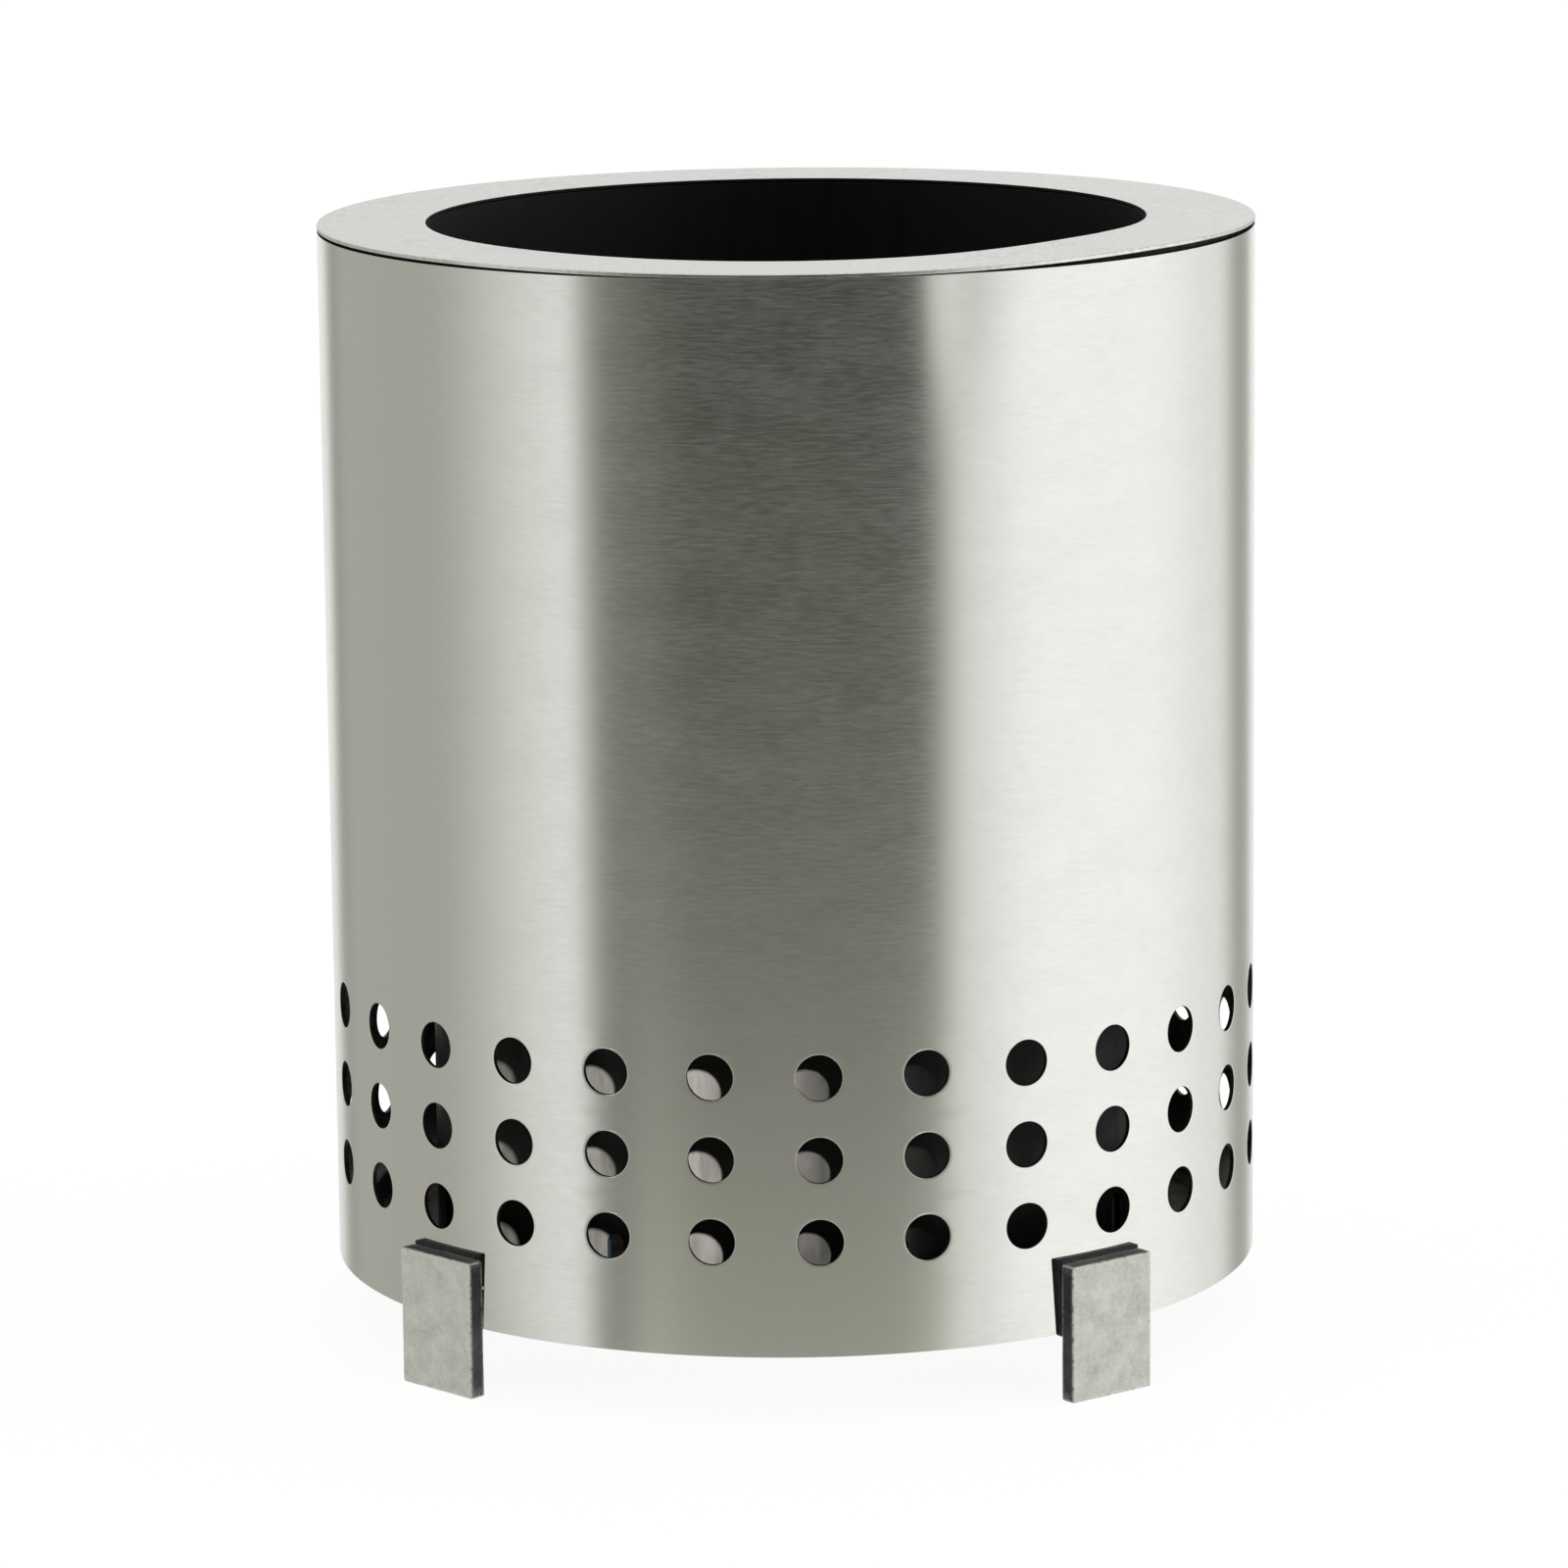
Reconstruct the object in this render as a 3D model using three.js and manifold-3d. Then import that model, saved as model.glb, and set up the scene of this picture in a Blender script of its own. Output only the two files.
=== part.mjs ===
// A double-walled chimney charcoal starter, in millimetres, +Z up, front towards -Y.
// A vented jacket stands on four clamped feet. Inside it an ash pan carries the fire tube, whose flat
// top ring covers the air gap, and a wire grate inside the tube carries the charcoal.
// Angles are measured from the front, -Y, towards +X.
import * as THREE from "three";
import { mergeVertices } from "three/addons/utils/BufferGeometryUtils.js";
import Module from "manifold-3d";

const wasm = await Module();
wasm.setup();

// Driving dimensions
const CLEARANCE = 0.3; // left between touching pieces
const SHELL_RADIUS = 103;
const SHELL_SHEET = 1;
const SHELL_BOTTOM = 13.5; // height of the jacket's lower edge above the ground
const SHELL_HEIGHT = 229.2;

const VENT_COLUMNS = 28;
const VENT_RADIUS = 5;
const VENT_FIRST_ROW = 25; // centre of the lowest row above the jacket's lower edge
const VENT_ROW_PITCH = 17.8;
const VENT_ROWS = 3;

const FOOT_ANGLE = 41.5; // each foot's angle from the front or the back, in degrees
const FOOT_WIDTH = 22;
const FOOT_HEIGHT = 30;
const FOOT_THICKNESS = 4;
const SPACER_THICKNESS = 2.1;
const SPACER_PROUD = 0.6; // how far the spacer stands above the foot plate

const LEDGE_SHEET = 2;
const LEDGE_REACH = 13; // how far the ledge reaches in under the ash pan
const LEDGE_BOTTOM = 1; // above the jacket's lower edge

const SCREW_RADIUS = 2;
const SCREW_HEAD_RADIUS = 3.6;
const SCREW_HEAD_HEIGHT = 2.2;
const SCREW_OFFSET = 6; // each screw's distance from the foot's middle
const SCREW_HEIGHT = 23;
const SCREW_DEPTH = 2.5; // how far a screw goes into the foot plate

const PAN_RADIUS = 96;
const PAN_SHEET = 1;
const PAN_RIM = 8;

const RING_SHEET = 1;
const RING_GAP = 1; // shadow gap between the jacket and the top ring
const TUBE_INNER = 79;
const TUBE_SHEET = 1.5;
const SLOT_WIDTH = 4;
const SLOT_TOP = 19; // above the jacket's lower edge
const SLOTS = 8;
const SLOT_PHASE = -25.4; // angle of the first slot, in degrees

const COLLAR_OUTER = 101;
const COLLAR_SHEET = 1.5;
const COLLAR_HEIGHT = 12;

const LUGS = 4;
const LUG_WIDTH = 14;
const LUG_SHEET = 1.5;
const LUG_DROP = 14;
const LUG_REACH = 9;
const LUG_TOP = 84; // height of the face that carries the grate
const LUG_FACE = 78.2; // distance of the lug's outer face from the axis
const RIVET_RADIUS = 2;
const RIVET_HEAD_RADIUS = 3.5;
const RIVET_HEAD = 1.2;
const RIVET_DROP = 8; // rivet's centre below the lug's top face

const GRATE_RADIUS = 73;
const GRATE_ROD = 2.5;
const BAR_RADIUS = 2;
const BAR_PITCH = 16;
const BARS_EACH_SIDE = 4;

// Facets
const WALL_FACETS = 2 * VENT_COLUMNS; // one vent sits in the middle of every second facet
const RING_FACETS = 84;
const HOLE_SIDES = 12;
const ROD_SIDES = 10;
const CUTTER_FACETS = 96;

// Derived heights and radii
const SHELL_TOP = SHELL_BOTTOM + SHELL_HEIGHT;
const SHELL_INNER = SHELL_RADIUS - SHELL_SHEET;
const RING_BOTTOM = SHELL_TOP + RING_GAP;
const SPACER_FRONT = SHELL_RADIUS + CLEARANCE + SPACER_THICKNESS;
const PLATE_BACK = SPACER_FRONT + CLEARANCE;
const FOOT_TOP = FOOT_HEIGHT;
const LEDGE_OUTER = SHELL_INNER * Math.cos(Math.PI / WALL_FACETS) - CLEARANCE;
const LEDGE_FACE = LEDGE_OUTER - LEDGE_SHEET - 0.5;
const LEDGE_TOP = SHELL_BOTTOM + LEDGE_BOTTOM + LEDGE_SHEET;
const PAN_BOTTOM = LEDGE_TOP + CLEARANCE;
const TUBE_BOTTOM = PAN_BOTTOM + PAN_SHEET + CLEARANCE;
const TUBE_OUTER = TUBE_INNER + TUBE_SHEET;
const TUBE_TOP = RING_BOTTOM - CLEARANCE;
const LUG_ANGLES = Array.from({ length: LUGS }, (_, i) => ((i + 0.5) * 360) / LUGS);

const brushedSteel = new THREE.MeshStandardMaterial({ color: 0xc4c5bf, roughness: 0.32, metalness: 1 });
const satinSteel = new THREE.MeshStandardMaterial({ color: 0xd4d4d0, roughness: 0.45, metalness: 1 });
const blackEnamel = new THREE.MeshStandardMaterial({ color: 0x0b0c0d, roughness: 0.6, metalness: 0 });
const blastedSteel = new THREE.MeshStandardMaterial({ color: 0xa9aaa5, roughness: 0.6, metalness: 0.9 });
const darkSteel = new THREE.MeshStandardMaterial({ color: 0x2a2c29, roughness: 0.55, metalness: 0.8 });
const zincPlate = new THREE.MeshStandardMaterial({ color: 0xb8babb, roughness: 0.4, metalness: 1 });
const bareSteel = new THREE.MeshStandardMaterial({ color: 0x8d8c88, roughness: 0.4, metalness: 1 });

const radians = THREE.MathUtils.degToRad;

function toSolid(geometry) {
  const bare = geometry.index ? geometry.toNonIndexed() : geometry.clone();
  bare.deleteAttribute("normal");
  bare.deleteAttribute("uv");
  const merged = mergeVertices(bare, 1e-4);
  return new wasm.Manifold(
    new wasm.Mesh({
      numProp: 3,
      vertProperties: new Float32Array(merged.attributes.position.array),
      triVerts: new Uint32Array(merged.index.array),
    }),
  );
}

function toGeometry(solid) {
  const mesh = solid.getMesh();
  const geometry = new THREE.BufferGeometry();
  geometry.setAttribute("position", new THREE.BufferAttribute(new Float32Array(mesh.vertProperties), 3));
  geometry.setIndex(new THREE.BufferAttribute(new Uint32Array(mesh.triVerts), 1));
  geometry.computeVertexNormals();
  return geometry;
}

function named(name, geometry, material) {
  const mesh = new THREE.Mesh(geometry, material);
  mesh.name = name;
  return mesh;
}

// A solid of revolution about Z from a closed profile of [radius, height] points. A vertex line lies at
// half a facet from the front, so that a facet faces the front.
function turned(profile, facets) {
  const points = [...profile, profile[0]].map(([r, z]) => new THREE.Vector2(r, z));
  return new THREE.LatheGeometry(points, facets, Math.PI / facets).rotateX(Math.PI / 2);
}

// The profile of a plain ring between two radii and two heights.
function ringProfile(inner, outer, low, high) {
  return [
    [inner, low],
    [outer, low],
    [outer, high],
    [inner, high],
  ];
}

function cylinderAlongZ(radius, low, high, sides) {
  return new THREE.CylinderGeometry(radius, radius, high - low, sides)
    .rotateX(Math.PI / 2)
    .translate(0, 0, (low + high) / 2);
}

// A cylinder along Y between two distances in front of the axis.
function cylinderAlongY(radius, near, far, x, z, sides) {
  return new THREE.CylinderGeometry(radius, radius, far - near, sides).translate(x, -(near + far) / 2, z);
}

// A box that spans x either side of the middle, from near to far in front of the axis.
function boxInFront(width, near, far, low, high) {
  return new THREE.BoxGeometry(width, far - near, high - low).translate(0, -(near + far) / 2, (low + high) / 2);
}

function placedAt(angle) {
  const group = new THREE.Group();
  group.rotation.z = radians(angle);
  return group;
}

// The jacket: a rolled sheet with three rows of round vents and the feet's screw holes.
function outerShell() {
  let shell = toSolid(turned(ringProfile(SHELL_INNER, SHELL_RADIUS, SHELL_BOTTOM, SHELL_TOP), WALL_FACETS));
  for (let row = 0; row < VENT_ROWS; row++) {
    const z = SHELL_BOTTOM + VENT_FIRST_ROW + row * VENT_ROW_PITCH;
    for (let column = 0; column < VENT_COLUMNS; column++) {
      const angle = ((column + 0.5) * 2 * Math.PI) / VENT_COLUMNS;
      const punch = cylinderAlongY(VENT_RADIUS, SHELL_INNER - 4, SHELL_RADIUS + 4, 0, z, HOLE_SIDES);
      shell = shell.subtract(toSolid(punch.rotateZ(angle)));
    }
  }
  for (const angle of footAngles()) {
    for (const side of [-1, 1]) {
      const drill = screwDrill(side, SHELL_INNER - 4, SHELL_RADIUS + 4);
      shell = shell.subtract(toSolid(drill.rotateZ(radians(angle))));
    }
  }
  return named("outer_shell", toGeometry(shell), brushedSteel);
}

function footAngles() {
  return [FOOT_ANGLE, 180 - FOOT_ANGLE, 180 + FOOT_ANGLE, 360 - FOOT_ANGLE];
}

function screwDrill(side, near, far) {
  return cylinderAlongY(SCREW_RADIUS + CLEARANCE, near, far, side * SCREW_OFFSET, SCREW_HEIGHT, HOLE_SIDES);
}

function withScrewHoles(geometry, near, far) {
  let solid = toSolid(geometry);
  for (const side of [-1, 1]) {
    solid = solid.subtract(toSolid(screwDrill(side, near, far)));
  }
  return solid;
}

// The outer plate of a foot, a cut length of flat bar with blind screw holes in its back.
function footPlate(number) {
  const bar = boxInFront(FOOT_WIDTH, PLATE_BACK, PLATE_BACK + FOOT_THICKNESS, 0, FOOT_TOP);
  const holeEnd = PLATE_BACK + SCREW_DEPTH + CLEARANCE;
  return named(`foot_plate_${number}`, toGeometry(withScrewHoles(bar, PLATE_BACK - 1, holeEnd)), blastedSteel);
}

// The packing piece between a foot plate and the jacket, hollowed to the jacket's curve.
function footSpacer(number) {
  const block = boxInFront(FOOT_WIDTH, SHELL_INNER - 3, SPACER_FRONT, SHELL_BOTTOM, FOOT_TOP + SPACER_PROUD);
  const curve = cylinderAlongZ(SHELL_RADIUS + CLEARANCE, 0, SHELL_TOP, CUTTER_FACETS);
  const packed = withScrewHoles(block, SHELL_INNER - 4, SPACER_FRONT + 1).subtract(toSolid(curve));
  return named(`foot_spacer_${number}`, toGeometry(packed), darkSteel);
}

// The angle piece inside the jacket, which clamps the sheet and carries the ash pan.
function footLedge(number) {
  const low = SHELL_BOTTOM + LEDGE_BOTTOM;
  const upright = boxInFront(FOOT_WIDTH, LEDGE_FACE, SHELL_RADIUS, low, FOOT_TOP);
  const shelf = boxInFront(FOOT_WIDTH, LEDGE_FACE - LEDGE_REACH, SHELL_RADIUS, low, LEDGE_TOP);
  const inside = toSolid(cylinderAlongZ(LEDGE_OUTER, 0, SHELL_TOP, CUTTER_FACETS));
  const angle = withScrewHoles(upright, LEDGE_FACE - 1, SHELL_RADIUS + 1).add(toSolid(shelf)).intersect(inside);
  return named(`foot_ledge_${number}`, toGeometry(angle), darkSteel);
}

// A pan-head screw from inside the jacket into the foot plate.
function footScrew(number, side) {
  const headBack = LEDGE_FACE - CLEARANCE;
  const x = side * SCREW_OFFSET;
  const head = toSolid(
    cylinderAlongY(SCREW_HEAD_RADIUS, headBack - SCREW_HEAD_HEIGHT, headBack, x, SCREW_HEIGHT, HOLE_SIDES),
  );
  const shank = toSolid(
    cylinderAlongY(SCREW_RADIUS, headBack - 1, PLATE_BACK + SCREW_DEPTH, x, SCREW_HEIGHT, HOLE_SIDES),
  );
  const label = side < 0 ? "left" : "right";
  return named(`foot_screw_${number}_${label}`, toGeometry(head.add(shank)), zincPlate);
}

function foot(angle, index) {
  const number = index + 1;
  const group = placedAt(angle);
  group.add(footPlate(number), footSpacer(number), footLedge(number), footScrew(number, -1), footScrew(number, 1));
  return group;
}

// The shallow dish that closes the jacket's bottom and catches the ash.
function ashPan() {
  const floorTop = PAN_BOTTOM + PAN_SHEET;
  const profile = [
    [0, PAN_BOTTOM],
    [PAN_RADIUS, PAN_BOTTOM],
    [PAN_RADIUS, PAN_BOTTOM + PAN_RIM],
    [PAN_RADIUS - PAN_SHEET, PAN_BOTTOM + PAN_RIM],
    [PAN_RADIUS - PAN_SHEET, floorTop],
    [0, floorTop],
  ];
  return named("ash_pan", turned(profile, WALL_FACETS), bareSteel);
}

// A hole right through the tube's wall, seen along the radius.
function slotCutter(angle) {
  const near = TUBE_INNER - 4;
  const far = TUBE_OUTER + 4;
  const archCentre = SHELL_BOTTOM + SLOT_TOP - SLOT_WIDTH / 2;
  const arch = cylinderAlongY(SLOT_WIDTH / 2, near, far, 0, archCentre, HOLE_SIDES);
  const leg = boxInFront(SLOT_WIDTH, near, far, TUBE_BOTTOM - 2, archCentre);
  return toSolid(arch.rotateZ(angle)).add(toSolid(leg.rotateZ(angle)));
}

function rivetDrill(near, far) {
  return cylinderAlongY(RIVET_RADIUS + CLEARANCE, near, far, 0, LUG_TOP - RIVET_DROP, HOLE_SIDES);
}

// The fire tube, open at both ends, with air slots in its foot.
function fireTube() {
  let tube = toSolid(turned(ringProfile(TUBE_INNER, TUBE_OUTER, TUBE_BOTTOM, TUBE_TOP), WALL_FACETS));
  for (let i = 0; i < SLOTS; i++) {
    tube = tube.subtract(slotCutter(radians(SLOT_PHASE + (i * 360) / SLOTS)));
  }
  for (const angle of LUG_ANGLES) {
    tube = tube.subtract(toSolid(rivetDrill(TUBE_INNER - 3, TUBE_OUTER + 3).rotateZ(radians(angle))));
  }
  return named("fire_tube", toGeometry(tube), blackEnamel);
}

// The flat ring on top of the fire tube, flush with the jacket.
function topRing() {
  const profile = ringProfile(TUBE_INNER, SHELL_RADIUS, RING_BOTTOM, RING_BOTTOM + RING_SHEET);
  return named("top_ring", turned(profile, RING_FACETS), satinSteel);
}

// The strip under the top ring that centres the fire tube in the jacket's mouth.
function locatingCollar() {
  const top = RING_BOTTOM - CLEARANCE;
  const profile = ringProfile(COLLAR_OUTER - COLLAR_SHEET, COLLAR_OUTER, top - COLLAR_HEIGHT, top);
  return named("locating_collar", turned(profile, WALL_FACETS), blackEnamel);
}

// A bent tab inside the fire tube that the grate rests on.
function grateLug(number) {
  const back = LUG_FACE - LUG_SHEET;
  const upright = boxInFront(LUG_WIDTH, back, LUG_FACE, LUG_TOP - LUG_DROP, LUG_TOP);
  const shelf = boxInFront(LUG_WIDTH, back - LUG_REACH, LUG_FACE, LUG_TOP - LUG_SHEET, LUG_TOP);
  const tab = toSolid(upright).add(toSolid(shelf)).subtract(toSolid(rivetDrill(back - 1, LUG_FACE + 1)));
  return named(`grate_lug_${number}`, toGeometry(tab), bareSteel);
}

// The rivet that holds a lug to the fire tube.
function lugRivet(number) {
  const z = LUG_TOP - RIVET_DROP;
  const innerFace = LUG_FACE - LUG_SHEET - CLEARANCE;
  const outerFace = TUBE_OUTER + CLEARANCE;
  const pieces = [
    [RIVET_HEAD_RADIUS, innerFace - RIVET_HEAD, innerFace],
    [RIVET_RADIUS, innerFace - RIVET_HEAD / 2, outerFace + RIVET_HEAD / 2],
    [RIVET_HEAD_RADIUS, outerFace, outerFace + RIVET_HEAD],
  ];
  const [first, ...rest] = pieces.map(([r, near, far]) => toSolid(cylinderAlongY(r, near, far, 0, z, ROD_SIDES)));
  return named(`lug_rivet_${number}`, toGeometry(rest.reduce((whole, piece) => whole.add(piece), first)), bareSteel);
}

function lug(angle, index) {
  const group = placedAt(angle);
  group.add(grateLug(index + 1), lugRivet(index + 1));
  return group;
}

// The grate's round rod, on the lugs.
function grateRing() {
  const z = LUG_TOP + CLEARANCE + GRATE_ROD;
  const section = Array.from({ length: ROD_SIDES }, (_, i) => {
    const turn = (i * 2 * Math.PI) / ROD_SIDES;
    return [GRATE_RADIUS + GRATE_ROD * Math.cos(turn), z + GRATE_ROD * Math.sin(turn)];
  });
  return named("grate_ring", turned(section, WALL_FACETS), bareSteel);
}

// One straight bar of the grate, lying on the ring, offset from the middle.
function grateBar(offset, index) {
  const z = LUG_TOP + 2 * (CLEARANCE + GRATE_ROD) + BAR_RADIUS;
  const length = 2 * Math.sqrt((GRATE_RADIUS + BAR_RADIUS) ** 2 - offset ** 2);
  const rod = new THREE.CylinderGeometry(BAR_RADIUS, BAR_RADIUS, length, ROD_SIDES);
  const bar = named(`grate_bar_${index + 1}`, rod, bareSteel);
  bar.position.set(offset, 0, z);
  return bar;
}

function grate() {
  const group = new THREE.Group();
  const offsets = [];
  for (let i = -BARS_EACH_SIDE; i <= BARS_EACH_SIDE; i++) {
    offsets.push(i * BAR_PITCH);
  }
  group.add(grateRing(), ...offsets.map(grateBar));
  return group;
}

const starter = new THREE.Group();
starter.add(outerShell(), ...footAngles().map(foot));
starter.add(ashPan());
starter.add(fireTube(), topRing(), locatingCollar(), ...LUG_ANGLES.map(lug));
starter.add(grate());

export default starter;
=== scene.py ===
"""Looks of a double-walled chimney charcoal starter: a brushed jacket with vents on plate feet, a black
fire tube under a flat top ring, a welded wire grate and an ash pan. Metres, +Z up, front towards -Y.
Angles are measured from the front, -Y, towards +X."""
import math

import bmesh
import bpy
import numpy as np
from mathutils import Matrix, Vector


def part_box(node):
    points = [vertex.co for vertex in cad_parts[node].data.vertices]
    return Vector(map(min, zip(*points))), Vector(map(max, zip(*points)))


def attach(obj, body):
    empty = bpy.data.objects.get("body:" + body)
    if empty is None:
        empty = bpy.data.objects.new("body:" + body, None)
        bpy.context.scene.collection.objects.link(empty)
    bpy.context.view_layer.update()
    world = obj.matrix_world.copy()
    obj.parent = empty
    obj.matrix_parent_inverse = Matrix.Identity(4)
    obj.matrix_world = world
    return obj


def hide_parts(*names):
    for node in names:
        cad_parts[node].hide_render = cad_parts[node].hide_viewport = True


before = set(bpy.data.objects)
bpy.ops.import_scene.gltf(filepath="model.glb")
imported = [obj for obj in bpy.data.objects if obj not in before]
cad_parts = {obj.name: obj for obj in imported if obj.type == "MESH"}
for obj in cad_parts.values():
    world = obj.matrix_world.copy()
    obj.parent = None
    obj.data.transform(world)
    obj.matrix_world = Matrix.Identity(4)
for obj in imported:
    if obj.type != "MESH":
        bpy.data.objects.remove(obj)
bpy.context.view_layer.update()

MM = 0.001
TAU = 2 * math.pi
SCENE = bpy.context.scene

# Sizes that the CAD gives
SHELL_LOW, SHELL_HIGH = (corner.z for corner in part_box("outer_shell"))
SHELL_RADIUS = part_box("outer_shell")[1].x
TUBE_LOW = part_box("fire_tube")[0].z
COLLAR_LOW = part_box("locating_collar")[0].z
PAN_LOW, PAN_HIGH = (corner.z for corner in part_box("ash_pan"))
PAN_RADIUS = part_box("ash_pan")[1].x
GRATE_RING_LOW, GRATE_RING_HIGH = (corner.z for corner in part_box("grate_ring"))

# Sizes in millimetres that the CAD's source also has
SHELL_SHEET = 1.0
VENT_COLUMNS = 28
VENT_RADIUS = 5.0
VENT_FIRST_ROW = 25.0
VENT_ROW_PITCH = 17.8
VENT_ROWS = 3
FOOT_ANGLES = (41.5, 138.5, 221.5, 318.5)
FOOT_WIDTH = 22.0
FOOT_HEIGHT = 30.0
FOOT_THICKNESS = 4.0
FOOT_BACK = 105.7
SPACER_FRONT = 105.4
SPACER_HIGH = 30.6
TUBE_INNER = 79.0
TUBE_OUTER = 80.5
SLOTS = 8
SLOT_PHASE = -25.4
SLOT_WIDTH = 4.0
SLOT_HIGH = 19.0
COLLAR_OUTER = 101.0
COLLAR_SHEET = 1.5
LUG_ANGLES = (45.0, 135.0, 225.0, 315.0)
LUG_HIGH = 84.0
LUG_FACE = 78.2
LUG_SHEET = 1.5
LUG_WIDTH = 14.0
LUG_DROP = 14.0
LUG_REACH = 9.0
RIVET_HIGH = 76.0
SCREW_HIGH = 23.0
SCREW_OFFSET = 6.0
LEDGE_FACE = 99.0
GRATE_BARS = 9

# Sizes in millimetres, and an angle in degrees, that only the looks have: the ring's sheet as its edge
# shows it, the dent under the rim, and how the packing pieces were cut
RING_SHEET = 0.8
DENT_ANGLE = 24.4
DENT_WIDTH = 7.0
DENT_HEIGHT = 24.0
DENT_DEPTH = 0.4
PACKING_TAPER = 1.3
PACKING_SHORT = 2.5

# Where the camera stands: angles in degrees, the lens in millimetres, and distances in units of
# CAMERA_UNIT millimetres
CAMERA_UNIT = 103.0
CAMERA_AZIMUTH = 3.6
CAMERA_DISTANCE = 15.33
CAMERA_ELEVATION = 10.25
CAMERA_AIM_HEIGHT = 1.2
CAMERA_PAN = -0.063
CAMERA_TILT = -0.708
CAMERA_ROLL = -0.602
CAMERA_LENS = 163.0

# How bright the studio is, and the tint of its dim parts
FRONT_LEVEL = 0.012
OVERHEAD_LEVEL = 0.75
TABLE_LEVEL = 0.93
DIM_TINT = "#fffeef"

# The table's glow: its level, and in metres from the axis where it starts to fade, where it ends and
# where the jacket's reflections of it would meet
GLOW_LEVEL = 0.6
GLOW_NEAR = 0.1
GLOW_REACH = 0.8
GLOW_FOCUS = 0.052

# The panels round the horizon, in degrees from the camera's bearing towards its right: where each one
# starts and ends, over how many degrees to either side it fades in and out, and its level
PANELS = (
    (38.5, 137, 5, 8, 1.05),  # the tall softbox on the right
    (52, 118, 13, 22, 0.43),  # and its brighter middle
    (-143, -52, 5, 3.5, 0.56),  # the dimmer softbox on the left
    (-78, -52, 22, 3.5, 0.62),  # and its brighter front part
    (-58, -34, 2, 12, 0.16),  # a grey wall beside it, nearer the camera
    (132, 210, 9, 1, 0.42),  # the backdrop's grey edges, right and left
    (-210, -142, 1, 5, 0.32),
    (158, 210, 6, 1, 0.75),  # and the white backdrop itself, right and left
    (-210, -154, 1, 5, 0.75),
)

# The snooted lamp that shines in through the vents, in degrees, metres and watts, and in millimetres
# the place in the jacket that it is aimed at
LAMP_AZIMUTH = 8.0
LAMP_ELEVATION = 21.0
LAMP_DISTANCE = 2.0
LAMP_SIZE = 0.03
LAMP_POWER = 4000.0
LAMP_AIM = (-38.0, -90.0, 54.0)
LAMP_BEAM = 3.0


# ---------------- mesh making

def place(radius, angle, height):
    """Points in the shared frame from a radius and a height in millimetres and an angle in radians."""
    radius, angle, height = np.broadcast_arrays(radius, angle, height)
    return np.stack([radius * np.sin(angle), -radius * np.cos(angle), height], -1) * MM


def turn(points, degrees):
    """Points turned about the axis from the front to an angle."""
    c, s = math.cos(math.radians(degrees)), math.sin(math.radians(degrees))
    return points @ np.array([[c, s, 0], [-s, c, 0], [0, 0, 1]])


def grid_faces(rows, columns, closed_rows=False, closed_columns=False):
    """Vertex numbers of the quads of a rows by columns grid, which may wrap round either way."""
    r = np.arange(rows if closed_rows else rows - 1)
    c = np.arange(columns if closed_columns else columns - 1)
    r, c = np.meshgrid(r, c, indexing="ij")
    r2, c2 = (r + 1) % rows, (c + 1) % columns
    corners = [r * columns + c, r * columns + c2, r2 * columns + c2, r2 * columns + c]
    return np.stack(corners, -1).reshape(-1, 4)


def join(parts):
    """One (points, faces, flat) from several. flat is each point's place on the flattened sheet."""
    points, faces, flat, start = [], [], [], 0
    for p, f, s in parts:
        points.append(p.reshape(-1, 3))
        flat.append(s.reshape(-1, 2))
        faces.append(f + start)
        start += len(points[-1])
    return np.concatenate(points), np.concatenate(faces), np.concatenate(flat)


def make_mesh(name, points, faces, flat=None, outward=False):
    """A smooth mesh object with doubled points merged. flat gives a UV map in metres along the sheet, and
    outward turns a closed body's faces to the outside."""
    mesh = bpy.data.meshes.new(name)
    mesh.from_pydata(points.reshape(-1, 3).tolist(), [], faces.tolist())
    if flat is not None:
        layer = mesh.uv_layers.new(name="around")
        layer.data.foreach_set("uv", flat.reshape(-1, 2)[faces.ravel()].astype(np.float32).ravel())
    shape = bmesh.new()
    shape.from_mesh(mesh)
    bmesh.ops.remove_doubles(shape, verts=shape.verts, dist=2e-6)
    if outward:
        bmesh.ops.recalc_face_normals(shape, faces=shape.faces)
    shape.to_mesh(mesh)
    shape.free()
    mesh.shade_smooth()
    piece = bpy.data.objects.new(name, mesh)
    SCENE.collection.objects.link(piece)
    return piece


def turned(profile, segments, lift=None):
    """The surface that a profile of (radius, height) points in millimetres sweeps round the axis:
    point (i, j) is profile point j turned by i parts of a full turn, plus lift(angle) millimetres."""
    profile = np.asarray(profile, float)
    angle = np.arange(segments) / segments * TAU
    height = profile[None, :, 1] + (0 if lift is None else lift(angle)[:, None])
    return place(profile[None, :, 0], angle[:, None], height)


def rounded(corners, radius, steps=4):
    """A closed profile with each corner cut back by radius and replaced with a quadratic curve of
    steps points, so that a sheared or rolled edge catches the light."""
    corners = np.asarray(corners, float)
    before, after = np.roll(corners, 1, 0), np.roll(corners, -1, 0)

    def toward(a, b):
        """The points where the cut-back corners at a leave the sides that lead to b."""
        gap = b - a
        length = np.linalg.norm(gap, axis=1, keepdims=True)
        return a + gap / length * np.minimum(radius, length * 0.45)

    start, end = toward(corners, before), toward(corners, after)
    t = np.linspace(0, 1, steps)[None, :, None]
    curve = start[:, None] * (1 - t) ** 2 + corners[:, None] * 2 * t * (1 - t) + end[:, None] * t**2
    return curve.reshape(-1, 2)


def turned_body(name, profile, segments, lift=None):
    """A closed body of revolution from a closed profile."""
    points = turned(profile, segments, lift)
    faces = grid_faces(segments, len(profile), True, True)
    return make_mesh(name, points, faces, outward=True)


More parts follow.
